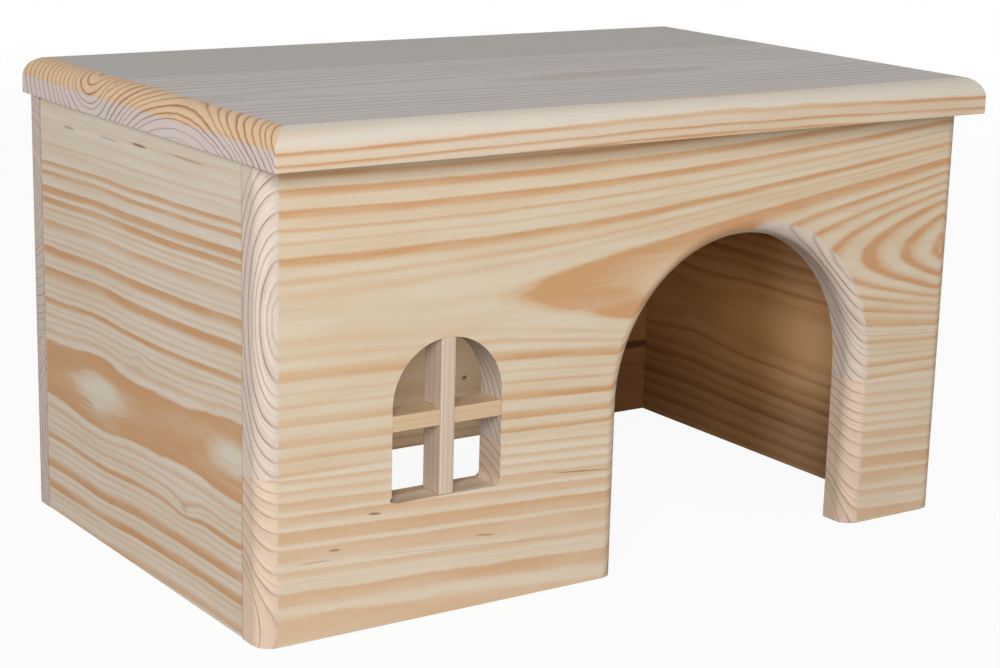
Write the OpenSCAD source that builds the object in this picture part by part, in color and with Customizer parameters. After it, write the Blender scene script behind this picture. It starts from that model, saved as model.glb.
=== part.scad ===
// Flat-roofed wooden house for hamsters, glued up from pine boards.
// X runs along the front, Y from the front to the back, Z up.
// The origin is the middle of the footprint, on the ground. Millimetres.

/* [Roof board] */
// Width of the roof, end to end
roof_w = 280; // [240:1:340]
// Depth of the roof, front edge to back edge
roof_d = 180; // [150:1:230]
// Thickness of the roof
roof_t = 12.5; // [11:0.5:20]
// Radius of the rounded top edge of the roof
roof_edge_r = 7; // [2:0.5:10]
// Width of the front one of the two staves that the roof is glued from
roof_front_stave_w = 112; // [90:1:125]

/* [Walls] */
// Height of the house, ground to roof top
house_h = 159; // [145:1:200]
// Thickness of the wall boards
board_t = 12; // [10:0.5:16]
// How far the roof stands out over the front panel
front_overhang = 10; // [0:0.5:20]
// How far the roof stands out over the wall at each end
end_overhang = 1; // [0:0.5:10]
// How far the side panels lie back from the ends of the long panels
side_inset = 0.4; // [0:0.1:2]
// Radius of the upright outer corners of the long panels
corner_r = 6; // [1:0.5:8]
// Height of the lower stave of the front panel
front_lower_stave_h = 53; // [45:1:60]
// Height of the lower stave of the back panel
back_lower_stave_h = 62; // [45:1:90]

/* [Door] */
// Width of the door
door_w = 102.5; // [80:0.5:110]
// Height of the door at the top of its arch
door_h = 110; // [90:1:116]
// Width of the pier between the door and the right end of the front panel
pier_w = 43; // [30:1:50]
// Radius of the rounded front edge round the door
door_edge_r = 6; // [1:0.5:8]

/* [Window] */
// Width of the window
window_w = 40; // [30:1:50]
// Height of the window at the top of its arch
window_h = 50.5; // [40:0.5:60]
// Height of the window sill above the ground
sill_h = 39; // [34:1:44]
// Width of the front panel left of the window
window_margin = 45; // [25:1:50]
// Radius of the two lower corners of the window
sill_corner_r = 2; // [0.5:0.5:5]
// Width of the window bars, seen from the front
bar_w = 5.2; // [3:0.1:8]
// Depth of the window bars, front to back
bar_depth = 10; // [6:0.5:10]

/* [Dowels] */
// Diameter of the hidden dowels
dowel_d = 6; // [4:0.5:7]
// Length of a dowel
dowel_l = 20; // [14:1:26]
// Length of a dowel that sits in the face of a panel or of the roof
dowel_bite = 8; // [4:0.5:8.5]
// Chamfer at each end of a dowel
dowel_chamfer = 0.8; // [0.2:0.1:1.5]
// Radial clearance of a dowel in its bore
dowel_clearance = 0.05; // [0.02:0.01:0.1]
// Glue space left past each end of a dowel
glue_space = 0.5; // [0.2:0.1:1]
// Distance of the corner dowels from the lower and upper edges of the walls
corner_dowel_inset = 28; // [20:1:36]
// Distance of the roof dowels from the ends of each edge that they join
roof_dowel_inset = 32; // [24:1:40]

/* [Hidden] */
$fn = 96;
// How far a cutting shape reaches past the board that it cuts
cut = 1;

PINE = [0.87, 0.77, 0.62];
PINE_WARM = [0.86, 0.73, 0.56];
PINE_PALE = [0.88, 0.80, 0.67];
BEECH = [0.80, 0.66, 0.50];

wall_w = roof_w - 2 * end_overhang;
wall_h = house_h - roof_t;
front_y = -roof_d / 2 + front_overhang;
back_y = roof_d / 2;
front_inner_y = front_y + board_t;
back_inner_y = back_y - board_t;
side_outer_x = wall_w / 2 - side_inset;
side_mid_x = side_outer_x - board_t / 2;
side_l = back_inner_y - front_inner_y;
roof_glue_y = -roof_d / 2 + roof_front_stave_w;

door_x = wall_w / 2 - pier_w - door_w / 2;
door_spring_z = door_h - door_w / 2;
window_x = -wall_w / 2 + window_margin + window_w / 2;
window_spring_h = window_h - window_w / 2;
crossbar_z = sill_h + window_h / 2;
lap = bar_depth / 2;

// Dowel places. The corner dowels lie along Y, the roof dowels stand along Z.
corner_dowel_z = [corner_dowel_inset, wall_h - corner_dowel_inset];
panel_dowel_x = wall_w / 2 - roof_dowel_inset;
side_dowel_y = [front_inner_y + roof_dowel_inset, back_inner_y - roof_dowel_inset];

// ---- shapes that repeat ----

// Waste outside a rounded edge. The edge lies at the origin, the wood in +x and +y.
module edge_waste(r) {
    difference() {
        translate([-cut, -cut]) square(r + cut);
        translate([r, r]) circle(r = r);
    }
}

// One dowel along +Z, with its joint plane at z = 0 and its bite below that plane.
module dowel() {
    r = dowel_d / 2;
    translate([0, 0, -dowel_bite])
        rotate_extrude()
            polygon([
                [0, 0], [r - dowel_chamfer, 0], [r, dowel_chamfer],
                [r, dowel_l - dowel_chamfer], [r - dowel_chamfer, dowel_l], [0, dowel_l]
            ]);
}

// The bore that a dowel sits in, with the glue space at both ends.
module dowel_bore() {
    translate([0, 0, -dowel_bite - glue_space])
        cylinder(d = dowel_d + 2 * dowel_clearance, h = dowel_l + 2 * glue_space);
}

// Puts its child at each corner dowel. side is -1 at the left and 1 at the right.
module at_front_corner(side) {
    for (z = corner_dowel_z)
        translate([side * side_mid_x, front_inner_y, z]) rotate([-90, 0, 0]) children();
}

module at_back_corner(side) {
    for (z = corner_dowel_z)
        translate([side * side_mid_x, back_inner_y, z]) rotate([90, 0, 0]) children();
}

// Puts its child at each roof dowel, which bites upwards into the roof.
module at_roof_joint() {
    for (side = [-1, 1]) {
        for (y = [front_y + board_t / 2, back_y - board_t / 2])
            translate([side * panel_dowel_x, y, wall_h]) mirror([0, 0, 1]) children();
        for (y = side_dowel_y)
            translate([side * side_mid_x, y, wall_h]) mirror([0, 0, 1]) children();
    }
}

// ---- roof ----

// The whole roof board, with a quarter round along all four top edges.
// The rounds meet in a sharp mitre at each corner.
module roof_board() {
    difference() {
        translate([-roof_w / 2, -roof_d / 2, wall_h]) cube([roof_w, roof_d, roof_t]);
        for (side = [0, 1]) {
            mirror([0, side, 0])
                translate([-roof_w / 2 - cut, -roof_d / 2, house_h])
                    rotate([90, 0, 90])
                        linear_extrude(roof_w + 2 * cut)
                            mirror([0, 1]) edge_waste(roof_edge_r);
            mirror([side, 0, 0])
                translate([-roof_w / 2, roof_d / 2 + cut, house_h])
                    rotate([90, 0, 0])
                        linear_extrude(roof_d + 2 * cut)
                            mirror([0, 1]) edge_waste(roof_edge_r);
        }
        at_roof_joint() dowel_bore();
    }
}

module roof_front_stave() {
    color(PINE)
        intersection() {
            roof_board();
            translate([-roof_w / 2, -roof_d / 2, wall_h])
                cube([roof_w, roof_front_stave_w, roof_t]);
        }
}

module roof_rear_stave() {
    color(PINE_WARM)
        intersection() {
            roof_board();
            translate([-roof_w / 2, roof_glue_y, wall_h])
                cube([roof_w, roof_d - roof_front_stave_w, roof_t]);
        }
}

// ---- front panel ----

// The arched door, with the rounded front edge that runs up both jambs and over the arch.
module door_opening() {
    translate([door_x, front_y, 0]) {
        translate([-door_w / 2, -cut, -cut])
            cube([door_w, board_t + 2 * cut, door_spring_z + cut]);
        translate([0, -cut, door_spring_z])
            rotate([-90, 0, 0]) cylinder(d = door_w, h = board_t + 2 * cut);
        for (side = [0, 1])
            mirror([side, 0, 0])
                translate([door_w / 2, 0, -cut])
                    linear_extrude(door_spring_z + cut) edge_waste(door_edge_r);
        translate([0, 0, door_spring_z])
            rotate([-90, 0, 0])
                rotate_extrude() translate([door_w / 2, 0]) edge_waste(door_edge_r);
    }
}

// Outline of the window: x across from its middle, y up from its sill.
module window_outline() {
    translate([0, window_spring_h]) circle(d = window_w);
    translate([-window_w / 2, sill_corner_r])
        square([window_w, window_spring_h - sill_corner_r]);
    translate([-window_w / 2 + sill_corner_r, 0])
        square([window_w - 2 * sill_corner_r, window_spring_h]);
    for (side = [-1, 1])
        translate([side * (window_w / 2 - sill_corner_r), sill_corner_r])
            circle(r = sill_corner_r);
}

// The window's outline as a solid, from near_y towards the back.
module window_block(near_y, depth) {
    translate([window_x, near_y + depth, sill_h])
        rotate([90, 0, 0]) linear_extrude(depth) window_outline();
}

module front_panel() {
    difference() {
        translate([-wall_w / 2, front_y, 0]) cube([wall_w, board_t, wall_h]);
        for (side = [0, 1])
            mirror([side, 0, 0])
                translate([-wall_w / 2, front_y, -cut])
                    linear_extrude(wall_h + 2 * cut) edge_waste(corner_r);
        door_opening();
        window_block(front_y - cut, board_t + 2 * cut);
        for (side = [-1, 1]) at_front_corner(side) dowel_bore();
        at_roof_joint() dowel_bore();
    }
}

module front_upper_stave() {
    color(PINE)
        intersection() {
            front_panel();
            translate([-wall_w / 2, front_y, front_lower_stave_h])
                cube([wall_w, board_t, wall_h - front_lower_stave_h]);
        }
}

// The door parts the lower stave into a long piece and the foot of the right pier.
module front_lower_left_stave() {
    color(PINE_WARM)
        intersection() {
            front_panel();
            translate([-wall_w / 2, front_y, 0])
                cube([door_x + wall_w / 2, board_t, front_lower_stave_h]);
        }
}

module front_lower_right_stave() {
    color(PINE_WARM)
        intersection() {
            front_panel();
            translate([door_x, front_y, 0])
                cube([wall_w / 2 - door_x, board_t, front_lower_stave_h]);
        }
}

// ---- back and sides ----

module back_panel() {
    difference() {
        translate([-wall_w / 2, back_inner_y, 0]) cube([wall_w, board_t, wall_h]);
        for (side = [0, 1])
            mirror([side, 0, 0])
                translate([-wall_w / 2, back_y, -cut])
                    linear_extrude(wall_h + 2 * cut) mirror([0, 1]) edge_waste(corner_r);
        for (side = [-1, 1]) at_back_corner(side) dowel_bore();
        at_roof_joint() dowel_bore();
    }
}

module back_upper_stave() {
    color(PINE)
        intersection() {
            back_panel();
            translate([-wall_w / 2, back_inner_y, back_lower_stave_h])
                cube([wall_w, board_t, wall_h - back_lower_stave_h]);
        }
}

module back_lower_stave() {
    color(PINE_WARM)
        intersection() {
            back_panel();
            translate([-wall_w / 2, back_inner_y, 0])
                cube([wall_w, board_t, back_lower_stave_h]);
        }
}

// A side panel fits between the long panels. side is -1 at the left and 1 at the right.
module side_panel(side) {
    difference() {
        translate([side * side_mid_x - board_t / 2, front_inner_y, 0])
            cube([board_t, side_l, wall_h]);
        at_front_corner(side) dowel_bore();
        at_back_corner(side) dowel_bore();
        at_roof_joint() dowel_bore();
    }
}

module left_side_panel() {
    color(PINE_PALE) side_panel(-1);
}

module right_side_panel() {
    color(PINE_PALE) side_panel(1);
}

// ---- window bars, halved into each other where they cross ----

module window_upright() {
    color(PINE_PALE)
        difference() {
            intersection() {
                window_block(front_y, bar_depth);
                translate([window_x - bar_w / 2, front_y, sill_h])
                    cube([bar_w, bar_depth, window_h]);
            }
            translate([window_x - bar_w / 2 - cut, front_y + lap, crossbar_z - bar_w / 2])
                cube([bar_w + 2 * cut, bar_depth - lap + cut, bar_w]);
        }
}

module window_crossbar() {
    color(PINE_PALE)
        difference() {
            intersection() {
                window_block(front_y, bar_depth);
                translate([window_x - window_w / 2, front_y, crossbar_z - bar_w / 2])
                    cube([window_w, bar_depth, bar_w]);
            }
            translate([window_x - bar_w / 2, front_y - cut, crossbar_z - bar_w / 2 - cut])
                cube([bar_w, lap + cut, bar_w + 2 * cut]);
        }
}

// ---- hidden dowels ----

module roof_dowels() {
    color(BEECH) at_roof_joint() dowel();
}

module front_left_dowels() {
    color(BEECH) at_front_corner(-1) dowel();
}

module front_right_dowels() {
    color(BEECH) at_front_corner(1) dowel();
}

module back_left_dowels() {
    color(BEECH) at_back_corner(-1) dowel();
}

module back_right_dowels() {
    color(BEECH) at_back_corner(1) dowel();
}

roof_front_stave();
roof_rear_stave();
front_upper_stave();
front_lower_left_stave();
front_lower_right_stave();
back_upper_stave();
back_lower_stave();
left_side_panel();
right_side_panel();
window_upright();
window_crossbar();
roof_dowels();
front_left_dowels();
front_right_dowels();
back_left_dowels();
back_right_dowels();
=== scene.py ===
"""Looks of the wooden hamster house: pine boards with their growth rings, eased edges and studio.

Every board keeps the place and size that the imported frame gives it. Its wood is a solid
pattern of growth rings round the pith of the log that the board was sawn from, so the bands
on a face, the arcs on the end grain and the lines inside the doorway belong together.
Lengths in the wood classes are millimetres; meshes, lamps and the camera are in metres.
"""

from __future__ import annotations

import logging
import math
from dataclasses import dataclass, replace
from enum import Enum

import bmesh
import bpy
import numpy as np
from mathutils import Matrix, Vector


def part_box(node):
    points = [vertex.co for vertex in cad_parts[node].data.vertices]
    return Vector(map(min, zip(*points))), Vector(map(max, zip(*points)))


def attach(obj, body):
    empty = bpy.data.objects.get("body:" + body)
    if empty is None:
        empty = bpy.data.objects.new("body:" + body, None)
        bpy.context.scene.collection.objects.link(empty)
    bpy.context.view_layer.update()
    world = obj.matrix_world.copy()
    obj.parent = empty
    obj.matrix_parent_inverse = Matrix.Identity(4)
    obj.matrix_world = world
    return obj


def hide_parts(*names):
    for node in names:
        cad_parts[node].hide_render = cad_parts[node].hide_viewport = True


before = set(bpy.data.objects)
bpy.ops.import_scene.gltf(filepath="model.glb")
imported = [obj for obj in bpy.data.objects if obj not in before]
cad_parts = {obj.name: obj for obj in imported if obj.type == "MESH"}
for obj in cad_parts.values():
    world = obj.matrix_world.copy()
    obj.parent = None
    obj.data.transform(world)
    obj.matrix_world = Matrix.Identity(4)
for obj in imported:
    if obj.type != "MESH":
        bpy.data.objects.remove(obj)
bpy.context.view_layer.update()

Span = tuple[float, float]
Point = tuple[float, float, float]
Paint = tuple[float, float, float, float]
Screen = tuple[int, int, int]

MM = 0.001
BODY = "root"
log = logging.getLogger("hamster_house")


# ---------------------------------------------------------------- shader maths


class Value:
    """A shader socket with arithmetic that adds Math nodes."""

    def __init__(self, graph: Graph, socket: bpy.types.NodeSocket) -> None:
        """Wraps socket, which belongs to graph."""
        self.graph = graph
        self.socket = socket

    def math(self, operation: str, *others: Value | float) -> Value:
        """A Math node on this value.

        Args:
            operation: The Math node's operation.
            others: The second and third inputs.

        Returns:
            The node's result.
        """
        return self.graph.node(
            "ShaderNodeMath",
            {"operation": operation},
            {0: self, **{i + 1: other for i, other in enumerate(others)}},
        )

    def __add__(self, other: Value | float) -> Value:
        """This plus other."""
        return self.math("ADD", other)

    __radd__ = __add__

    def __sub__(self, other: Value | float) -> Value:
        """This minus other."""
        return self.math("SUBTRACT", other)

    def __rsub__(self, other: float) -> Value:
        """A number minus this."""
        return self.graph.node("ShaderNodeMath", {"operation": "SUBTRACT"}, {0: other, 1: self})

    def __mul__(self, other: Value | float) -> Value:
        """This times other."""
        return self.math("MULTIPLY", other)

    __rmul__ = __mul__

    def __truediv__(self, other: Value | float) -> Value:
        """This divided by other."""
        return self.math("DIVIDE", other)

    def __pow__(self, other: float) -> Value:
        """This to the power of a number."""
        return self.math("POWER", other)


class Graph:
    """The node tree of one material, world or lamp."""

    def __init__(self, tree: bpy.types.NodeTree) -> None:
        """Empties tree and keeps it."""
        self.tree = tree
        tree.nodes.clear()

    def node(
        self,
        kind: str,
        settings: dict[str, object] | None = None,
        inputs: dict[str | int, object] | None = None,
        output: str | int = 0,
    ) -> Value:
        """Adds one node of any type.

        Args:
            kind: The node's type.
            settings: Its properties; "stops" are a colour ramp's (place, red, green) stops.
            inputs: A value or a link for each socket, by identifier, name or number.
            output: The identifier, name or number of the wanted output.

        Returns:
            The wanted output.
        """
        made = self.tree.nodes.new(kind)
        for name, setting in (settings or {}).items():
            if name == "stops":
                self._set_stops(made.color_ramp, setting)
            else:
                setattr(made, name, setting)
        for name, given in (inputs or {}).items():
            socket = self._socket(made.inputs, name)
            if isinstance(given, Value):
                self.tree.links.new(given.socket, socket)
            else:
                socket.default_value = given
        return Value(self, self._socket(made.outputs, output)) if made.outputs else None

    @staticmethod
    def _socket(sockets: object, name: str | int) -> bpy.types.NodeSocket:
        """The socket with that number, identifier or name."""
        if isinstance(name, int):
            return sockets[name]
        by_identifier = [s for s in sockets if s.identifier == name]
        return by_identifier[0] if by_identifier else sockets[name]

    @staticmethod
    def _set_stops(ramp: bpy.types.ColorRamp, stops: list[Point]) -> None:
        """Gives a colour ramp its (place, red, green) stops, in rising order."""
        while len(ramp.elements) < len(stops):
            ramp.elements.new(1.0)
        for element, (place, red, green) in zip(ramp.elements, stops):
            element.position = place
            element.color = (red, green, 0.0, 1.0)

    def mix(
        self, factor: Value | float, first: object, second: object, blend: str = "MIX"
    ) -> Value:
        """Colour from first, at factor 0, to second, or to their blend, at factor 1."""
        return self.node(
            "ShaderNodeMix",
            {"data_type": "RGBA", "blend_type": blend},
            {"Factor_Float": factor, "A_Color": first, "B_Color": second},
            "Result_Color",
        )

    def tint(self, colour: object, factor: Value) -> Value:
        """Colour times a number."""
        return self.node(
            "ShaderNodeVectorMath",
            {"operation": "SCALE"},
            {"Vector": colour, "Scale": factor},
            "Vector",
        )

    def vector(self, x: Value | float, y: Value | float, z: Value | float) -> Value:
        """A vector of three numbers."""
        return self.node("ShaderNodeCombineXYZ", None, {0: x, 1: y, 2: z})

    def parts(self, vector: Value) -> list[Value]:
        """The three numbers of a vector."""
        x = self.node("ShaderNodeSeparateXYZ", None, {0: vector})
        return [Value(self, s) for s in x.socket.node.outputs]

    def noise(self, place: Value, detail: float = 1.0, roughness: float = 0.5) -> Value:
        """Smooth noise from -0.5 to 0.5 with a grain of about one unit of place."""
        raw = self.node(
            "ShaderNodeTexNoise",
            {"noise_dimensions": "3D"},
            {"Vector": place, "Scale": 1.0, "Detail": detail, "Roughness": roughness},
        )
        return raw - 0.5

    def step(self, value: Value, low: float, high: float) -> Value:
        """0 below low, 1 above high and smooth between them."""
        return self.node(
            "ShaderNodeMapRange",
            {"interpolation_type": "SMOOTHSTEP"},
            {"Value": value, "From Min": low, "From Max": high},
        )


def srgb(red: int, green: int, blue: int) -> Paint:
    """A linear colour from its 0 to 255 screen values."""
    scaled = np.array([red, green, blue]) / 255
    low, high = scaled / 12.92, ((scaled + 0.055) / 1.055) ** 2.4
    linear = np.where(scaled <= 0.04045, low, high)
    return (*(float(v) for v in linear), 1.0)


# ---------------------------------------------------------------- the wood


class Axis(Enum):
    """An axis of the part frame."""

    X = 0
    Y = 1
    Z = 2


class PithSide(Enum):
    """Where the pith of the log lies, seen from outside the board's face."""

    BEFORE_FACE = 1
    BEHIND_FACE = -1


@dataclass(frozen=True)
class Reading:
    """How a distance in a board is read off the part frame: sign times (coordinate - zero)."""

    axis: Axis
    zero: float
    sign: int = 1


@dataclass(frozen=True)
class Ring:
    """One year's growth.

    radius is where it ends, late_share how much of it is dark late wood and strength how dark.
    core_share of the late wood is fully dark; the rest is its soft inner side.
    """

    radius: float
    late_share: float = 0.4
    strength: float = 0.6
    core_share: float = 0.5


@dataclass(frozen=True)
class Swell:
    """A stretch of the log where the pith lies nearer to the face."""

    along: float
    spread: float
    amount: float


@dataclass(frozen=True)
class Mark:
    """A dark resin streak, hairline crack or small bruise; an inner one is only inside.

    rim is the height of its bell curve where the dark starts and where it is full.
    """

    along: float
    height: float
    length: float
    width: float
    strength: float = 0.7
    slope: float = 0.0
    inner: bool = False
    rim: Span = (0.12, 0.75)


@dataclass(frozen=True)
class Knot:
    """A small pin knot: the rings bulge round it and its heart is brown by strength.

    bulge_reach, along and across, and flatness, across, are in shares of its radius.
    """

    along: float
    height: float
    radius: float
    bulge: float = 1.5
    strength: float = 0.5
    bulge_reach: Span = (3.0, 1.6)
    flatness: float = 0.7
    rim: Span = (0.2, 0.9)


@dataclass(frozen=True)
class Fade:
    """An area of the face where the rings are faint."""

    along: float
    height: float
    length: float
    width: float
    amount: float


@dataclass(frozen=True)
class Grain:
    """Screen colours of early and late wood on one kind of surface."""

    early: Screen
    late: Screen


@dataclass(frozen=True)
class PineTones:
    """Screen colours of one board's wood.

    The tones for surfaces that face up are painted light: warm painted light on the end grain
    of edges that are rounded upwards, a pale painted sheen on their long grain and a grey
    painted sheen and shade on the flat upper face.
    """

    early: Screen = (219, 205, 181)
    early_warm: Screen = (215, 193, 163)
    late: Screen = (211, 171, 128)
    late_deep: Screen = (204, 157, 113)
    end: Grain = Grain((216, 202, 189), (138, 104, 84))
    painted_routed_light: Grain | None = None
    painted_round_sheen: Grain | None = None
    top: Grain | None = None
    # painted shade inside the house: in its middle, on the end walls and near the door
    painted_shade_middle: Screen = (226, 208, 186)
    painted_shade_corner: Screen = (153, 115, 73)
    painted_shade_mouth: Screen = (214, 180, 144)
    mark: Screen = (104, 70, 42)


def grown_rings(first: float, last: float, mean: float, seed: int) -> tuple[Ring, ...]:
    """Rings of uneven width for a board whose own rings don't show.

    Args:
        first: Radius of the innermost ring.
        last: Radius past which no ring is needed.
        mean: Mean ring width.
        seed: Seed of the random draws.

    Returns:
        The rings from the inside outwards; each width is mean times 0.55 to 1.45.
    """
    draws = np.random.default_rng(seed)
    count = int((last - first) / mean)
    radii = first + np.cumsum(mean * draws.uniform(0.55, 1.45, count))
    shares = draws.uniform(0.28, 0.55, count)
    strengths = draws.uniform(0.3, 0.85, count)
    return tuple(Ring(float(r), float(s), float(k)) for r, s, k in zip(radii, shares, strengths))


def rings_of(*rows: tuple[float, ...]) -> tuple[Ring, ...]:
    """Rings from rows of radius, late_share, strength and, where it isn't usual, core_share."""
    return tuple(Ring(*row) for row in rows)


@dataclass(frozen=True)
class LogCut:
    """How a board was sawn from its log. Distances are read with along, height and depth.

    The pith runs pith_depth from the face, at pith_height, which changes by pith_slope for
    each millimetre along. It nears the face by bend_rise over bend_span, as a power curve.
    Below the pith the rings close up by lean, which grows along the board as a power curve.
    """

    along: Reading
    height: Reading
    depth: Reading
    rings: tuple[Ring, ...]
    pith_side: PithSide = PithSide.BEFORE_FACE
    pith_depth: float = 50.0
    pith_height: float = 50.0
    pith_slope: float = 0.0
    bend_rise: float = 0.0
    bend_span: float = 240.0
    bend_power: float = 2.6
    swells: tuple[Swell, ...] = ()
    lean: float = 0.0
    lean_power: float = 4.0
    wander: float = 0.6
    ripple: float = 0.8
    fades: tuple[Fade, ...] = ()
    marks: tuple[Mark, ...] = ()
    knots: tuple[Knot, ...] = ()


@dataclass(frozen=True)
class Fleck:
    """Noise whose grains have a length along the fibres and a width across them."""

    length: float
    width: float
    detail: float = 2.0
    roughness: float = 0.5


BOARD_WAVE = Fleck(75.0, 30.0, 1.0)
RING_WAVE = Fleck(24.0, 5.0)
RING_FEATHER = Fleck(4.5, 0.7)
PATCHES = Fleck(42.0, 7.0)
BLOTCHES = Fleck(70.0, 6.0)
LONG_FIBRES = Fleck(34.0, 0.6, 3.0, 0.6)
SHORT_FIBRES = Fleck(9.0, 0.2, 1.0)
END_PORES = Fleck(0.5, 0.28)
END_SPECKLE = Fleck(0.6, 0.35, 2.0, 0.7)


def bell(distance: Value, spread: float) -> Value:
    """A bell curve: e to the power of minus the square of distance over spread."""
    scaled = distance / spread
    return (scaled * scaled * -1.0).math("EXPONENT")


@dataclass(frozen=True)
class Place:
    """A place in a board: along its fibres, across its height and in from its face."""

    along: Value
    height: Value
    depth: Value

    def noise(self, fleck: Fleck) -> Value:
        """Smooth noise from -0.5 to 0.5, stretched along the fibres."""
        graph, width = self.along.graph, fleck.width
        grains = graph.vector(self.along / fleck.length, self.height / width, self.depth / width)
        return graph.noise(grains, fleck.detail, fleck.roughness)

    def near(self, spot: Knot | Fade, length: float, width: float) -> Value:
        """1 at a spot on the face, less round it by bell curves of that length and width."""
        return bell(self.along - spot.along, length) * bell(self.height - spot.height, width)


@dataclass(frozen=True)
class Cavity:
    """The space inside the house, whose wood is left rough and whose colour gets painted shade.

    The painted shade on the end walls grows over corner_reach, in shares of the way from the
    middle. It clears towards the door over mouth_reach and upwards over lift_heights, in
    millimetres, where lift is the painted light that the end walls gain upwards.
    """

    left: float
    right: float
    front: float
    back: float
    ceiling: float
    wall_outside: float
    skin: float = 0.3
    corner_reach: Span = (0.35, 0.8)
    mouth_reach: Span = (80.0, 35.0)
    lift_heights: Span = (10.0, 65.0)
    lift: float = 1.3
    # the painted shade on the step beside the end walls: its width and how much light it takes
    step_width: float = 0.5
    step_shade: float = 0.45
    hair: float = 0.05

    @classmethod
    def between_panels(cls) -> Cavity:
        """The cavity that the four walls enclose."""
        return cls(
            left=edge_of("left_side_panel", Axis.X, True),
            right=edge_of("right_side_panel", Axis.X, False),
            front=edge_of("front_upper_stave", Axis.Y, True),
            back=edge_of("back_upper_stave", Axis.Y, False),
            ceiling=edge_of("roof_front_stave", Axis.Z, False),
            wall_outside=edge_of("right_side_panel", Axis.X, True),
        )

    def mask(self, axes: list[Value]) -> Value:
        """1 on the inner faces of the walls and the roof, 0 everywhere else."""
        x, y, z = axes
        step, half = x.graph.step, self.skin / 2
        return (
            step(x, self.left - self.skin, self.left - half)
            * (1.0 - step(x, self.right + half, self.right + self.skin))
            * step(y, self.front - self.skin, self.front - half)
            * (1.0 - step(y, self.back + half, self.back + self.skin))
            * (1.0 - step(z, self.ceiling + half, self.ceiling + self.skin))
        )

    def step_light(self, axes: list[Value]) -> Value:
        """Painted shade on the narrow step where an end wall meets a long panel: the light left there, 1
        elsewhere.
        """
        x, y, z = axes
        step, width, hair = x.graph.step, self.step_width, self.hair
        beyond = step(x.math("ABSOLUTE"), self.wall_outside, self.wall_outside + hair)
        below_roof = step(z, self.ceiling - hair, self.ceiling - 2 * hair)
        between = step(y, self.front - width, self.front - 2 * hair) * step(
            y, self.back + width, self.back + 2 * hair
        )
        return 1.0 - beyond * between * below_roof * self.step_shade

    def painted_shade(self, axes: list[Value], tones: PineTones) -> Value:
        """The painted shade that the wood inside is multiplied by, paler near the door and higher up.

        Args:
            axes: The place in the part frame, in millimetres.
            tones: The board's tones; the painted shade is darker on the end walls than in the middle of
                the house.

        Returns:
            The shade's colour.
        """
        x, y, z = axes
        graph = x.graph
        begin, full = self.corner_reach
        corner = graph.step(x.math("ABSOLUTE"), begin * self.right, full * self.right)
        far, close = self.mouth_reach
        mouth = graph.step(y, self.front + far, self.front + close)
        side = graph.mix(mouth, srgb(*tones.painted_shade_corner), srgb(*tones.painted_shade_mouth))
        colour = graph.mix(corner, srgb(*tones.painted_shade_middle), side)
        return graph.tint(colour, 1.0 + graph.step(z, *self.lift_heights) * corner * self.lift)


@dataclass(frozen=True)
class Finish:
    """How sanded pine scatters light and how much its surface stands up or dips.

    Roughness and relief are sums of what the surface shows, each times its own factor.
    """

    roughness: float = 0.56
    late_roughness: float = -0.08
    fibre_roughness: float = 0.2
    end_roughness: float = 0.1
    inner_roughness: float = 0.3
    specular: float = 0.4
    late_relief: float = 0.5
    fibre_relief: float = 1.2
    mark_relief: float = 0.8
    bump_strength: float = 0.35
    bump_height: float = 0.06


@dataclass(frozen=True)
class Surface:
    """What a board shows: shares from 0 to 1, fibres from -0.5 to 0.5, upward from -1 to 1."""

    late: Value
    line: Value
    end: Value
    fibres: Value
    marks: Value
    inside: Value
    upward: Value


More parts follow.
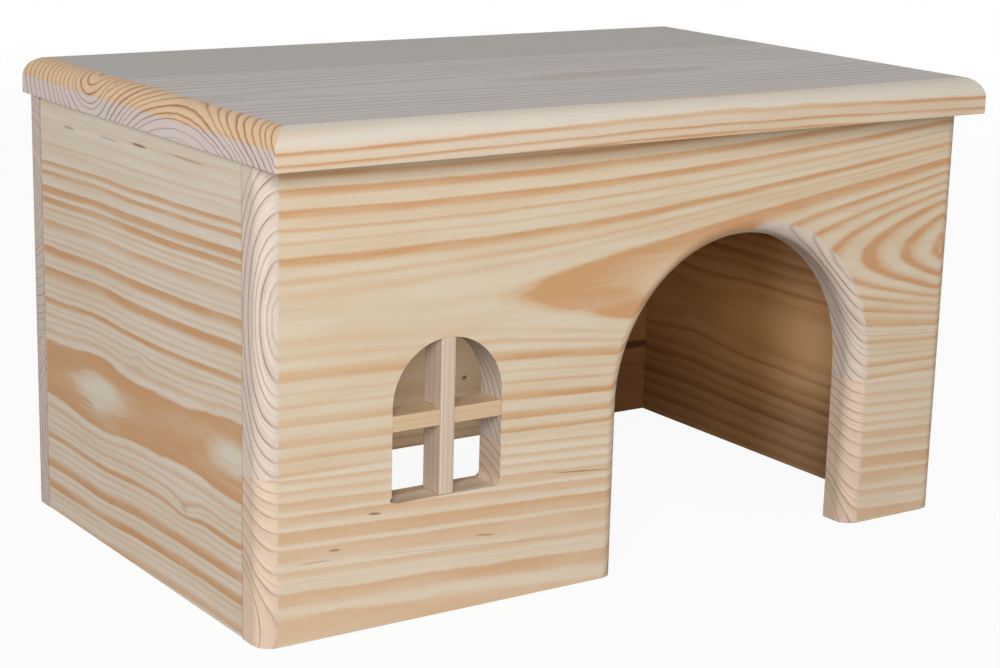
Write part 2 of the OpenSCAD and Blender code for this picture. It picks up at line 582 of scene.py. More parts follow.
@dataclass(frozen=True)
class Pine:
    """Untreated sanded pine, made as one material for one board.

    near_end and far_end say how far the surface turns to that end of the board before end
    grain starts to show and before it is full. On end grain each ring has a line, line_width
    wide, with line_body as the darkness of its inner side and grazed_line as the share of it
    that is left where the surface grazes the fibres. Faint lines lie fine_ring apart. Each
    turn is how far a surface looks up before its painted sheen and light tones start and
    before they are full.
    """

    name: str
    cut: LogCut
    tones: PineTones = PineTones()
    finish: Finish = Finish()
    near_end: Span = (0.012, 0.06)
    far_end: Span = (0.55, 0.85)
    grazing: Span = (0.1, 0.65)
    ring_ramp_size: int = 6
    ring_margin: float = 0.3
    first_ring: float = 2.0
    line_width: float = 0.4
    line_body: float = 0.3
    grazed_line: float = 0.4
    fine_ring: float = 1.15
    fine_strength: float = 0.3
    fine_sharpness: float = 5.0
    feather: float = 0.12
    face_patchiness: float = 0.9
    end_patchiness: float = 0.8
    long_fibres: float = 0.65
    fibre_depth: float = 0.16
    speckle_depth: float = 0.22
    warm_blotches: Span = (-0.2, 0.25)
    deep_late: Span = (0.55, 1.0)
    rounded_turn: Span = (0.04, 0.35)
    top_turn: Span = (0.985, 0.998)
    routed_turn: Span = (0.03, 0.12)
    routed_body: float = 0.75

    def material(self) -> bpy.types.Material:
        """Builds the board's material.

        Returns:
            A material whose colour, roughness and relief all come from the same rings.
        """
        made = bpy.data.materials.new(self.name)
        made.use_nodes = True
        graph = Graph(made.node_tree)
        texture = graph.node("ShaderNodeTexCoord", output="Object")
        facing = graph.parts(graph.node("ShaderNodeTexCoord", output="Normal"))
        scaled = graph.node(
            "ShaderNodeVectorMath", {"operation": "SCALE"}, {"Vector": texture, "Scale": 1 / MM}, "Vector"
        )
        axes = graph.parts(scaled)
        cut, look = self.cut, self.finish
        place = Place(*(self._read(axes, reading) for reading in (cut.along, cut.height, cut.depth)))
        cavity = Cavity.between_panels()
        seen = self._surface(place, facing, cavity.mask(axes))
        # painted shade inside the house, and on the step beside the end walls
        painted_shade = cavity.painted_shade(axes, self.tones)
        colour = graph.tint(self._colour(place, seen, painted_shade), cavity.step_light(axes))
        relief = (
            seen.late * look.late_relief
            + seen.fibres * look.fibre_relief
            - seen.marks * look.mark_relief
            + seen.end * place.noise(END_PORES)
        )
        bump = graph.node(
            "ShaderNodeBump",
            None,
            {"Strength": look.bump_strength, "Distance": look.bump_height * MM, "Height": relief},
        )
        roughness = (
            look.roughness
            + seen.late * look.late_roughness
            + seen.fibres * look.fibre_roughness
            + seen.end * look.end_roughness
            + seen.inside * look.inner_roughness
        )
        shader = graph.node(
            "ShaderNodeBsdfPrincipled",
            None,
            {
                "Base Color": colour,
                "Roughness": roughness,
                "Specular IOR Level": look.specular,
                "Normal": bump,
            },
        )
        graph.node("ShaderNodeOutputMaterial", None, {"Surface": shader})
        return made

    def _surface(self, place: Place, facing: list[Value], inside: Value) -> Surface:
        """What the board shows, from the way that its surface faces."""
        graph = inside.graph
        late, line = self._late_wood(place, self._radius(place))
        fibres = place.noise(LONG_FIBRES) * self.long_fibres
        fibres = fibres + place.noise(SHORT_FIBRES) * (1.0 - self.long_fibres)
        outward = facing[self.cut.along.axis.value]
        squarely = graph.step(outward.math("ABSOLUTE"), *self.grazing)
        near_end = graph.step(outward * -1.0, *self.near_end)
        return Surface(
            late=late * (1.0 + fibres),
            line=line * (squarely * (1.0 - self.grazed_line) + self.grazed_line),
            end=near_end.math("MAXIMUM", graph.step(outward, *self.far_end)),
            fibres=fibres,
            marks=self._marks(place, inside),
            inside=inside,
            upward=facing[Axis.Z.value],
        )

    @staticmethod
    def _read(axes: list[Value], reading: Reading) -> Value:
        """A distance in the board, by its reading."""
        return (axes[reading.axis.value] - reading.zero) * reading.sign

    def _radius(self, place: Place) -> Value:
        """Distance from the pith: the hypotenuse of depth and height from it, made uneven."""
        cut = self.cut
        wave = place.noise(BOARD_WAVE) * (2 * cut.wander)
        across = cut.pith_depth + place.depth * cut.pith_side.value + wave
        way = place.along.math("MAXIMUM", 0.0) / cut.bend_span
        if cut.bend_rise:
            across = across - way**cut.bend_power * cut.bend_rise
        for swell in cut.swells:
            across = across - bell(place.along - swell.along, swell.spread) * swell.amount
        rise = place.height - cut.pith_height - place.along * cut.pith_slope
        radius = (across * across + rise * rise).math("SQRT")
        if cut.lean:
            below = (rise * -1.0).math("MAXIMUM", 0.0)
            radius = radius + below * way**cut.lean_power * cut.lean
        for knot in cut.knots:
            length, width = (reach * knot.radius for reach in knot.bulge_reach)
            radius = radius - place.near(knot, length, width) * knot.bulge
        return radius + (place.noise(RING_WAVE) + place.noise(RING_FEATHER) * self.feather) * cut.ripple

    def _late_wood(self, place: Place, radius: Value) -> tuple[Value, Value]:
        """How dark the rings make the wood along a face, and their crisp lines on an end."""
        graph, rings = radius.graph, self.cut.rings
        inner = [rings[0].radius - self.first_ring] + [ring.radius for ring in rings[:-1]]
        total: Value | None = None
        for start in range(0, len(rings), self.ring_ramp_size):
            group = list(zip(inner, rings))[start : start + self.ring_ramp_size]
            low, high = group[0][0], group[-1][1].radius + self.ring_margin
            stops = [stop for before, ring in group for stop in self._ring_stops(before, ring)]
            scaled = [((stop[0] - low) / (high - low), *stop[1:]) for stop in stops]
            ramp = graph.node(
                "ShaderNodeValToRGB", {"stops": scaled}, {"Fac": (radius - low) / (high - low)}
            )
            total = ramp if total is None else graph.node(
                "ShaderNodeVectorMath", {"operation": "ADD"}, {0: total, 1: ramp}, "Vector"
            )
        face, line, _ = graph.parts(total)
        patchy = place.noise(PATCHES)
        shown = 1.0 + patchy * self.face_patchiness
        for fade in self.cut.fades:
            shown = shown * (1.0 - place.near(fade, fade.length, fade.width) * fade.amount)
        saw_tooth = (radius / self.fine_ring).math("FRACT")
        thin = saw_tooth**self.fine_sharpness * (self.fine_strength + patchy)
        return face * shown, (line * (1.0 + patchy * self.end_patchiness)).math("MAXIMUM", thin)

    def _ring_stops(self, before: float, ring: Ring) -> list[Point]:
        """The five ramp stops of one ring: radius, darkness on a face and on an end."""
        late = (ring.radius - before) * ring.late_share
        core = ring.core_share * late
        line = min(self.line_width, 0.9 * core)
        return [
            (ring.radius - late, 0.0, 0.0),
            (ring.radius - core, 0.85 * ring.strength, 0.12 * ring.strength),
            (ring.radius - line, ring.strength, self.line_body * ring.strength),
            (ring.radius - 0.12, ring.strength, 0.4 + 0.6 * ring.strength),
            (ring.radius + 0.15, 0.0, 0.0),
        ]

    def _marks(self, place: Place, inside: Value) -> Value:
        """Darkness of the resin streaks, cracks and knots on the face."""
        graph = inside.graph
        total = graph.node("ShaderNodeValue") * 0.0
        for mark in self.cut.marks:
            from_middle = place.along - mark.along
            across = place.height - mark.height - from_middle * mark.slope
            spot = bell(from_middle, mark.length / 2) * bell(across, mark.width / 2)
            shown = inside * mark.strength if mark.inner else mark.strength
            total = total.math("MAXIMUM", graph.step(spot, *mark.rim) * shown)
        for knot in self.cut.knots:
            spot = place.near(knot, knot.radius, knot.flatness * knot.radius)
            total = total.math("MAXIMUM", graph.step(spot, *knot.rim) * knot.strength)
        return total

    def _colour(self, place: Place, seen: Surface, painted_shade: Value) -> Value:
        """Base colour from the rings, the fibres, the end grain, the marks, the painted sheen and light
        on upward faces and the painted shade inside.
        """
        tones, graph = self.tones, painted_shade.graph
        blotch = graph.step(place.noise(BLOTCHES), *self.warm_blotches)
        early = graph.mix(blotch, srgb(*tones.early), srgb(*tones.early_warm))
        deepest = graph.step(seen.late, *self.deep_late)
        deep = graph.mix(deepest, srgb(*tones.late), srgb(*tones.late_deep))
        late, line = (dark.math("MINIMUM", 1.0) for dark in (seen.late, seen.line))
        face = graph.mix(late, early, deep)
        # pale painted sheen on rounded long grain and grey painted sheen on the flat top, where the
        # surface faces up
        for grain, turn in ((tones.painted_round_sheen, self.rounded_turn), (tones.top, self.top_turn)):
            if grain:
                turned = graph.mix(late, srgb(*grain.early), srgb(*grain.late))
                face = graph.mix(graph.step(seen.upward, *turn), face, turned)
        ends = graph.mix(line, srgb(*tones.end.early), srgb(*tones.end.late))
        # warm painted light on end grain where a rounded edge faces up
        if tones.painted_routed_light:
            broad = graph.mix(late * self.routed_body, srgb(*tones.painted_routed_light.early), srgb(*tones.late))
            painted_routed_light = graph.mix(line, broad, srgb(*tones.painted_routed_light.late))
            ends = graph.mix(graph.step(seen.upward, *self.routed_turn), ends, painted_routed_light)
        ends = graph.tint(ends, 1.0 + place.noise(END_SPECKLE) * self.speckle_depth)
        wood = graph.tint(graph.mix(seen.end, face, ends), 1.0 + seen.fibres * self.fibre_depth)
        marked = graph.mix(seen.marks, wood, srgb(*tones.mark))
        # inside the house the colour is multiplied by painted shade
        return graph.mix(seen.inside, marked, painted_shade, "MULTIPLY")


# ---------------------------------------------------------------- the boards


@dataclass
class Board:
    """One glued-up stave, panel or strip: its CAD node with eased edges and its own wood.

    glue_planes are (axis, millimetres) of flush glue joints, whose edges stay sharp. Edges
    steeper than sharp_angle are eased, but not the short ones round a bore. Lengths are in
    millimetres and angles in degrees.
    """

    node: str
    wood: Pine
    slot: str = "pine_boards"
    ease: float = 0.35
    ease_steps: int = 3
    glue_planes: tuple[tuple[Axis, float], ...] = ()
    glue_slack: float = 0.01
    sharp_angle: float = 52.0
    smooth_angle: float = 30.0
    flat_angle: float = 0.3
    bore_facet: float = 0.3
    weld: float = 0.001
    sliver: float = 0.002
    flat_weight: int = 90

    def build(self) -> bpy.types.Object:
        """Makes the board from a merged copy of its CAD node.

        Returns:
            The finished piece, which rides on the body and replaces the node.
        """
        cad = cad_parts[self.node]
        shape = bmesh.new()
        shape.from_mesh(cad.data)
        bmesh.ops.remove_doubles(shape, verts=shape.verts, dist=self.weld * MM)
        bmesh.ops.dissolve_limit(
            shape, angle_limit=math.radians(self.flat_angle), verts=shape.verts, edges=shape.edges
        )
        edges = [edge for edge in shape.edges if self._is_eased(edge)]
        bmesh.ops.bevel(
            shape,
            geom=edges,
            offset=self.ease * MM,
            segments=self.ease_steps,
            profile=0.5,
            affect="EDGES",
            clamp_overlap=True,
        )
        bmesh.ops.dissolve_degenerate(shape, dist=self.sliver * MM, edges=shape.edges)
        for face in shape.faces:
            face.smooth = True
        mesh = bpy.data.meshes.new(self.node + "_board")
        shape.to_mesh(mesh)
        shape.free()
        mesh.set_sharp_from_angle(angle=math.radians(self.smooth_angle))
        self._sharpen_glue_edges(mesh)
        piece = bpy.data.objects.new(self.node + "_board", mesh)
        bpy.context.scene.collection.objects.link(piece)
        mesh.materials.append(self.wood.material())
        weighted = piece.modifiers.new("even_normals", "WEIGHTED_NORMAL")
        weighted.keep_sharp = True
        weighted.weight = self.flat_weight
        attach(piece, BODY)
        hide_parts(self.node)
        log.info("%s: %d edges eased, %d faces", piece.name, len(edges), len(mesh.polygons))
        return piece

    def _sharpen_glue_edges(self, mesh: bpy.types.Mesh) -> None:
        """Keeps each edge that lies in a glue joint sharp, whatever the faces beside it."""
        for edge in mesh.edges:
            ends = [mesh.vertices[number].co / MM for number in edge.vertices]
            for axis, place in self.glue_planes:
                if all(abs(end[axis.value] - place) < self.glue_slack for end in ends):
                    edge.use_edge_sharp = True

    def _is_eased(self, edge: bmesh.types.BMEdge) -> bool:
        """True for a sharp outer edge that isn't in a glue joint or round a dowel bore."""
        if not edge.is_manifold or edge.calc_length() < self.bore_facet * MM:
            return False
        if edge.calc_face_angle(0) < math.radians(self.sharp_angle):
            return False
        middle = (edge.verts[0].co + edge.verts[1].co) / 2 / MM
        return all(abs(middle[a.value] - place) > self.glue_slack for a, place in self.glue_planes)


def edge_of(node: str, axis: Axis, upper: bool) -> float:
    """A node's lowest or highest coordinate along an axis, in millimetres."""
    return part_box(node)[int(upper)][axis.value] / MM


def inward(node: str, axis: Axis, upper: bool = False) -> Reading:
    """The distance from a node's lower or upper side, along an axis and into the node."""
    return Reading(axis, edge_of(node, axis, upper), -1 if upper else 1)


def build_boards(
    woods: dict[str, tuple[LogCut, PineTones]], look: Pine | None = None, **shape: object
) -> list[bpy.types.Object]:
    """Builds one board for each node.

    Args:
        woods: Each node's cut and tones.
        look: Pine that differs from the usual in something else, if it does.
        shape: What differs from the usual board.

    Returns:
        The finished pieces.
    """
    pieces = []
    for node, (cut, tones) in woods.items():
        wood = replace(look or Pine("pine", cut), name="pine_" + node, cut=cut, tones=tones)
        pieces.append(Board(node, wood, **shape).build())
    return pieces


ABOVE_GROUND = Reading(Axis.Z, 0.0)

SIDE_TONES = PineTones(
    early=(220, 209, 195),
    early_warm=(213, 198, 176),
    late=(207, 169, 130),
    late_deep=(203, 156, 112),
    end=Grain((206, 192, 182), (138, 112, 98)),
)
RIGHT_TONES = replace(
    SIDE_TONES,
    early=(222, 214, 198),
    early_warm=(214, 202, 178),
    late=(184, 150, 120),
    late_deep=(170, 134, 104),
)
# the back wall's corners get a darker painted shade
BACK_TONES = replace(SIDE_TONES, painted_shade_corner=(148, 106, 68))
# the roof's upward tones are painted light: sheen on its rounds and top, warm light on its routed ends
ROOF_TONES = PineTones(
    early=(219, 203, 181),
    early_warm=(215, 193, 166),
    late=(206, 160, 117),
    late_deep=(203, 146, 96),
    end=Grain((218, 204, 198), (132, 106, 98)),
    painted_routed_light=Grain((222, 192, 156), (162, 104, 66)),
    painted_round_sheen=Grain((217, 207, 192), (206, 181, 150)),
    top=Grain((199, 193, 189), (172, 157, 146)),
)
# the rear stave's flat top gets a darker painted sheen and shade
ROOF_REAR_TONES = replace(ROOF_TONES, top=Grain((185, 180, 173), (160, 149, 139)))
LOWER_TONES = PineTones(
    early=(223, 209, 188),
    early_warm=(220, 201, 175),
    late=(214, 179, 142),
    late_deep=(210, 170, 130),
    end=Grain((224, 200, 178), (142, 108, 86)),
)
UPRIGHT_TONES = PineTones(
    early=(214, 196, 178),
    early_warm=(210, 188, 168),
    late=(196, 156, 126),
    late_deep=(192, 150, 118),
    end=Grain((208, 188, 168), (170, 138, 114)),
)
CROSSBAR_TONES = PineTones(
    early=(214, 188, 154),
    early_warm=(212, 180, 142),
    late=(202, 162, 122),
    late_deep=(198, 156, 112),
    end=Grain((206, 176, 142), (168, 132, 100)),
)


@dataclass
class FrontPanel:
    """The front with its arched door and window, glued from an upper and a lower board."""

    upper: str = "front_upper_stave"
    lower_left: str = "front_lower_left_stave"
    lower_right: str = "front_lower_right_stave"

    def build(self) -> list[bpy.types.Object]:
        """Builds the three staves; both lower ones come from one board."""
        glue = ((Axis.Z, edge_of(self.upper, Axis.Z, False)),)
        woods = {
            self.upper: (self._upper_cut(), PineTones()),
            self.lower_left: (self._lower_cut(), LOWER_TONES),
            self.lower_right: (self._lower_cut(), LOWER_TONES),
        }
        return build_boards(woods, glue_planes=glue)

    def _readings(self) -> dict[str, Reading]:
        """Along from the left end, height from the ground, depth from the front face."""
        return {
            "along": inward(self.upper, Axis.X),
            "height": ABOVE_GROUND,
            "depth": inward(self.upper, Axis.Y),
        }

    def _upper_cut(self) -> LogCut:
        """The flat-sawn board whose rings open to the right as pointed arches."""
        rings = rings_of(
            (46.6, 0.6, 0.9), (48.1, 0.6, 0.9), (49.3, 0.65, 0.95), (50.8, 0.65, 1.0),
            (52.4, 0.65, 1.0), (53.8, 0.6, 0.95), (55.2, 0.6, 0.9), (56.9, 0.6, 0.95),
            (59.4, 0.8, 1.0, 0.6), (60.5, 0.4, 0.35), (61.2, 0.6, 0.6), (62.8, 0.7, 0.9, 0.65),
            (64.2, 0.3, 0.5), (65.7, 0.4, 0.7), (68.2, 0.6, 0.95, 0.65), (71.4, 0.5, 0.9, 0.65),
            (73.9, 0.55, 0.9), (76.6, 0.45, 0.7), (79.4, 0.4, 0.6),
        )
        return LogCut(
            **self._readings(),
            rings=rings,
            pith_depth=59.96,
            pith_height=101.2,
            pith_slope=-0.019,
            bend_rise=8.1,
            lean=0.085,
            wander=0.25,
            ripple=0.35,
            fades=(
                Fade(10.0, 66.0, 62.0, 24.0, 0.4),
                Fade(20.0, 97.0, 60.0, 9.0, 0.5),
                Fade(258.0, 64.0, 26.0, 18.0, 0.3),
            ),
        )

    def _lower_cut(self) -> LogCut:
        """The board below the glue line, with soft broad bands that fall to the right."""
        rings = rings_of(
            (24.5, 0.6, 0.5), (27.2, 0.9, 0.7, 0.85), (29.6, 0.8, 0.85, 0.7), (31.0, 0.3, 0.2),
            (33.0, 0.75, 0.65, 0.6), (37.5, 0.8, 0.75, 0.7), (41.6, 0.84, 0.9, 0.8),
            (45.4, 0.72, 0.75, 0.6), (49.1, 0.8, 0.75, 0.7), (52.0, 0.6, 0.6), (54.9, 0.6, 0.7),
            (58.0, 0.5, 0.65), (61.4, 0.6, 0.6), (64.8, 0.6, 0.4), (68.0, 0.6, 0.4),
        )
        marks = (
            Mark(39.0, 37.0, 4.5, 0.9, 0.7, -0.1),
            Mark(25.0, 27.7, 4.0, 0.8, 0.6, -0.1),
            Mark(80.0, 23.2, 7.0, 0.5, 0.6, -0.12),
            Mark(117.0, 38.6, 24.0, 0.5, 0.55, -0.09),
            Mark(18.0, 25.0, 12.0, 0.5, 0.35, -0.03),
            Mark(76.0, 20.3, 96.0, 0.4, 0.22, -0.09),
            Mark(45.2, 40.2, 1.6, 1.8, 0.9),
        )
        return LogCut(
            **self._readings(),
            rings=rings,
            pith_side=PithSide.BEHIND_FACE,
            pith_depth=27.0,
            pith_height=5.0,
            pith_slope=-0.05,
            wander=0.5,
            marks=marks,
        )


@dataclass
class SidePanels:
    """The two boards that close the ends, between the front and the back."""

    left: str = "left_side_panel"
    right: str = "right_side_panel"

    def build(self) -> list[bpy.types.Object]:
        """Builds both boards."""
        woods = {
            self.left: (self._left_cut(), SIDE_TONES),
            self.right: (self._right_cut(), RIGHT_TONES),
        }
        return build_boards(woods)

    @staticmethod
    def _readings() -> dict[str, Reading]:
        """Along from the back of the house and height from the ground."""
        return {"along": inward("back_upper_stave", Axis.Y, upper=True), "height": ABOVE_GROUND}

    def _left_cut(self) -> LogCut:
        """Close straight bands above and one broad tangential patch below."""
        rings = rings_of(
            (33.0, 0.4, 0.4), (36.7, 0.56, 1.0, 0.75), (38.2, 0.6, 0.55), (39.2, 0.5, 0.4),
            (40.6, 0.6, 0.6), (41.6, 0.5, 0.4), (43.6, 0.75, 0.95, 0.6), (45.2, 0.5, 0.5),
            (46.9, 0.5, 0.4), (50.6, 0.85, 1.0, 0.55), (52.4, 0.5, 0.4), (56.2, 0.8, 1.0, 0.55),
            (58.0, 0.6, 0.45), (59.6, 0.5, 0.4), (63.6, 0.7, 0.75), (65.3, 0.5, 0.4),
            (67.2, 0.6, 0.6), (70.3, 0.75, 0.95, 0.7), (73.7, 0.78, 1.0, 0.7), (76.2, 0.3, 0.2),
            (78.3, 0.85, 0.9, 0.7), (81.4, 0.6, 0.9, 0.7), (84.8, 0.3, 0.25), (87.2, 0.5, 0.4),
            (91.0, 0.3, 0.2), (95.0, 0.3, 0.25),
        )
        marks = (
            Mark(35.0, 139.0, 9.0, 0.9, 0.5),
            Mark(66.0, 139.8, 14.0, 0.8, 0.3),
            Mark(89.0, 141.0, 11.0, 0.9, 0.8),
            Mark(122.0, 141.6, 24.0, 0.8, 0.35),
            Mark(46.0, 47.5, 9.0, 0.9, 0.35, -0.12),
        )
        return LogCut(
            **self._readings(),
            depth=inward(self.left, Axis.X),
            rings=rings,
            pith_depth=35.35,
            pith_height=51.6,
            pith_slope=0.02,
            swells=(Swell(55.0, 18.0, 0.9), Swell(154.0, 22.0, 0.9)),
            wander=0.35,
            marks=marks,
            knots=(Knot(118.0, 30.5, 3.0, 1.5, 0.2), Knot(87.0, 72.0, 2.0, 0.7, 0.1)),
        )

    def _right_cut(self) -> LogCut:
        """Read from its inner face, which shows through the door."""
        rings = rings_of(
            (33.0, 0.4, 0.15), (35.8, 0.5, 0.3), (37.6, 0.5, 0.65), (40.6, 0.5, 0.45),
            (43.5, 0.7, 0.75), (46.2, 0.5, 0.4), (49.6, 0.7, 0.75), (53.0, 0.5, 0.5),
            (57.2, 0.6, 0.65), (61.0, 0.5, 0.5), (64.4, 0.5, 0.5), (68.0, 0.5, 0.6),
            (72.5, 0.5, 0.5), (76.5, 0.5, 0.6), (81.0, 0.5, 0.5), (86.0, 0.5, 0.5),
            (91.0, 0.5, 0.5), (96.0, 0.4, 0.6),
        )
        return LogCut(
            **self._readings(),
            depth=inward(self.right, Axis.X, upper=True),
            rings=rings,
            pith_depth=22.0,
            pith_height=53.0,
            pith_slope=-0.01,
            swells=(Swell(45.0, 20.0, -1.0),),
            wander=0.6,
        )


@dataclass
class BackPanel:
    """The closed back, glued from an upper and a lower board."""

    upper: str = "back_upper_stave"
    lower: str = "back_lower_stave"

    def build(self) -> list[bpy.types.Object]:
        """Builds both staves."""
        glue = ((Axis.Z, edge_of(self.upper, Axis.Z, False)),)
        woods = {
            self.upper: (self._upper_cut(), BACK_TONES),
            self.lower: (self._lower_cut(), BACK_TONES),
        }
        return build_boards(woods, glue_planes=glue)

    def _readings(self) -> dict[str, Reading]:
        """Along from the left end, height from the ground, depth from the outer face."""
        return {
            "along": inward(self.upper, Axis.X),
            "height": ABOVE_GROUND,
            "depth": inward(self.upper, Axis.Y, upper=True),
        }

    def _upper_cut(self) -> LogCut:
        """A board sawn close beside the pith: a long flame with straight bands round it."""
        return LogCut(
            **self._readings(),
            rings=grown_rings(3.0, 62.0, 3.1, seed=11),
            pith_depth=3.0,
            pith_height=112.0,
            pith_slope=-0.012,
            bend_rise=-9.0,
            bend_power=1.4,
            wander=0.8,
            knots=(Knot(196.0, 84.0, 4.0, 3.0),),
        )

    def _lower_cut(self) -> LogCut:
        """A flat-sawn board whose pith lies inside the house."""
        return LogCut(
            **self._readings(),
            rings=grown_rings(20.0, 66.0, 2.9, seed=5),
            pith_side=PithSide.BEHIND_FACE,
            pith_depth=40.0,
            pith_height=27.0,
            pith_slope=0.02,
            bend_rise=7.0,
            wander=0.7,
            marks=(Mark(258.5, 28.4, 26.0, 3.4, 0.85, inner=True),),
            knots=(Knot(175.5, 25.0, 1.3, 1.0, 0.9),),
        )


@dataclass
class Roof:
    """The flat roof board, glued from two staves along its length.

    Edges steeper than mitre_angle are sharp, so that the rounded edges meet in crisp mitres.
    On the routed ends the rings show as bold lines.
    """

    front: str = "roof_front_stave"
    rear: str = "roof_rear_stave"
    mitre_angle: float = 12.0

    def build(self) -> list[bpy.types.Object]:
        """Builds both staves."""
        glue = ((Axis.Y, edge_of(self.rear, Axis.Y, False)),)
        woods = {
            self.front: (self._front_cut(), ROOF_TONES),
            self.rear: (self._rear_cut(), ROOF_REAR_TONES),
        }
        bold = Pine(
            "roof_pine",
            self._front_cut(),
            far_end=(0.012, 0.06),
            fine_strength=0.0,
            line_width=1.2,
            line_body=0.7,
            grazed_line=1.0,
        )
        return build_boards(woods, bold, glue_planes=glue, smooth_angle=self.mitre_angle)

    def _readings(self) -> dict[str, Reading]:
        """Along from the left end, height across the roof, depth from its top."""
        return {
            "along": inward(self.front, Axis.X),
            "height": Reading(Axis.Y, 0.0),
            "depth": inward(self.front, Axis.Z, upper=True),
        }

    def _front_cut(self) -> LogCut:
        """Arched rings over a pith far below the board."""
        rings = rings_of(
            (55.4, 0.2, 0.4), (58.2, 0.2, 0.6), (61.2, 0.3, 0.5), (62.9, 0.5, 0.95),
            (65.2, 0.5, 0.9), (67.2, 0.35, 0.6), (69.0, 0.4, 0.7), (70.9, 0.45, 0.9),
            (73.4, 0.5, 0.95), (75.8, 0.5, 0.95), (78.5, 0.4, 0.8), (81.2, 0.35, 0.8),
            (83.1, 0.45, 0.85), (85.6, 0.45, 0.9), (88.2, 0.4, 0.6), (91.0, 0.4, 0.6),
        )
        return LogCut(
            **self._readings(),
            rings=rings,
            pith_side=PithSide.BEHIND_FACE,
            pith_depth=67.0,
            pith_height=-29.0,
            swells=(Swell(165.0, 105.0, 2.2),),
            wander=0.4,
        )

    def _rear_cut(self) -> LogCut:
        """Bowl-shaped rings round a pith just above the board."""
        rings = rings_of(
            (5.6, 0.4, 0.5), (8.5, 0.35, 0.8), (11.6, 0.4, 0.95), (14.4, 0.35, 0.7),
            (16.2, 0.4, 0.7), (19.2, 0.35, 0.75), (22.4, 0.35, 0.7), (25.2, 0.35, 0.75),
            (28.2, 0.35, 0.75), (31.2, 0.35, 0.75), (34.7, 0.35, 0.75), (38.5, 0.35, 0.75),
            (41.8, 0.35, 0.75), (45.4, 0.35, 0.75), (49.0, 0.35, 0.75), (52.6, 0.35, 0.75),
            (56.4, 0.35, 0.75),
        )
        return LogCut(
            **self._readings(),
            rings=rings,
            pith_depth=5.0,
            pith_height=36.0,
            pith_slope=-0.01,
            wander=0.6,
        )


@dataclass
class WindowBars:
    """The upright and the crossbar, halved into each other."""

    upright: str = "window_upright"
    crossbar: str = "window_crossbar"
    ease: float = 0.5
    ring_strength: float = 0.7

    def build(self) -> list[bpy.types.Object]:
        """Builds both bars from straight-grained strip."""
        woods = {
            self.upright: (self._cut(self.upright, Axis.Z, Axis.X, 3), UPRIGHT_TONES),
            self.crossbar: (self._cut(self.crossbar, Axis.X, Axis.Z, 8), CROSSBAR_TONES),
        }
        return build_boards(woods, slot="window_bars", ease=self.ease)

    def _cut(self, node: str, along: Axis, across: Axis, seed: int) -> LogCut:
        """A strip far from the pith, so that its rings are nearly straight.

        Args:
            node: The bar's node.
            along: The axis that the fibres run along.
            across: The axis across the bar's front.
            seed: Seed of its rings.

        Returns:
            The bar's cut.
        """
        rings = grown_rings(38.0, 66.0, 1.8, seed)
        return LogCut(
            along=inward(node, along),
            height=inward(node, across),
            depth=inward(node, Axis.Y),
            rings=tuple(replace(ring, strength=self.ring_strength * ring.strength) for ring in rings),
            pith_depth=24.0,
            pith_height=-40.0,
            wander=0.2,
        )


@dataclass
class Dowels:
    """The hidden beech dowels. Their CAD solids stay and get their wood.

    flecks are the grains of the wood in each metre along the part's axes.
    """

    nodes: tuple[str, ...] = (
        "roof_dowels",
        "front_left_dowels",
        "front_right_dowels",
        "back_left_dowels",
        "back_right_dowels",
    )
    flecks: Point = (1200.0, 1200.0, 150.0)
    pale: Screen = (214, 182, 142)
    dark: Screen = (188, 148, 108)
    roughness: float = 0.6
    bump_strength: float = 0.2
    bump_height: float = 0.05

    def dress(self) -> None:
        """Gives every dowel fine-flecked beech."""
        made = bpy.data.materials.new("beech_dowels")
        made.use_nodes = True
        graph = Graph(made.node_tree)
        place = graph.node("ShaderNodeTexCoord", output="Object")
        scaled = graph.node("ShaderNodeMapping", None, {"Vector": place, "Scale": self.flecks})
        fleck = graph.noise(scaled, 3.0, 0.6)
        colour = graph.mix(graph.step(fleck, -0.15, 0.25), srgb(*self.pale), srgb(*self.dark))
        bump = graph.node(
            "ShaderNodeBump",
            None,
            {"Strength": self.bump_strength, "Distance": self.bump_height * MM, "Height": fleck},
        )
        shader = graph.node(
            "ShaderNodeBsdfPrincipled",
            None,
            {"Base Color": colour, "Roughness": self.roughness + fleck * 0.1, "Normal": bump},
        )
        graph.node("ShaderNodeOutputMaterial", None, {"Surface": shader})
        for node in self.nodes:
            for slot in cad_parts[node].material_slots:
                slot.material = made
            log.info("%s: dressed as beech", node)


# ---------------------------------------------------------------- the studio


def towards(azimuth: float, elevation: float) -> Vector:
    """The direction at those degrees: azimuth 0 is in front of the house, 90 on its right."""
    a, e = math.radians(azimuth), math.radians(elevation)
    return Vector((math.sin(a) * math.cos(e), -math.cos(a) * math.cos(e), math.sin(e)))


@dataclass(frozen=True)
class Camera:
    """The photograph's view, solved from the straight edges of the house.

    Angles are in degrees, with roll turning the picture. lens and sensor are in millimetres.
    """

    azimuth: float = -34.714
    elevation: float = 14.205
    roll: float = 1.560
    target: Point = (-0.01318, -0.02440, 0.06689)
    distance: float = 0.7730
    lens: float = 81.24
    sensor: float = 36.0
    shift: Span = (-0.0095, 0.0118)
    clip: Span = (0.05, 20.0)

    def build(self) -> None:
        """Creates the camera and makes it the scene's."""
        back = towards(self.azimuth, self.elevation)
        right = (-back).cross(Vector((0, 0, 1))).normalized()
        up = right.cross(-back)
        roll = math.radians(self.roll)
        turned_right = right * math.cos(roll) + up * math.sin(roll)
        turned_up = up * math.cos(roll) - right * math.sin(roll)
        data = bpy.data.cameras.new("camera")
        data.lens = self.lens
        data.sensor_width = self.sensor
        data.shift_x, data.shift_y = self.shift
        data.clip_start, data.clip_end = self.clip
        camera = bpy.data.objects.new("camera", data)
        camera.matrix_world = Matrix.Translation(
            Vector(self.target) + back * self.distance
        ) @ Matrix((turned_right, turned_up, back)).transposed().to_4x4()
        bpy.context.scene.collection.objects.link(camera)
        bpy.context.scene.camera = camera


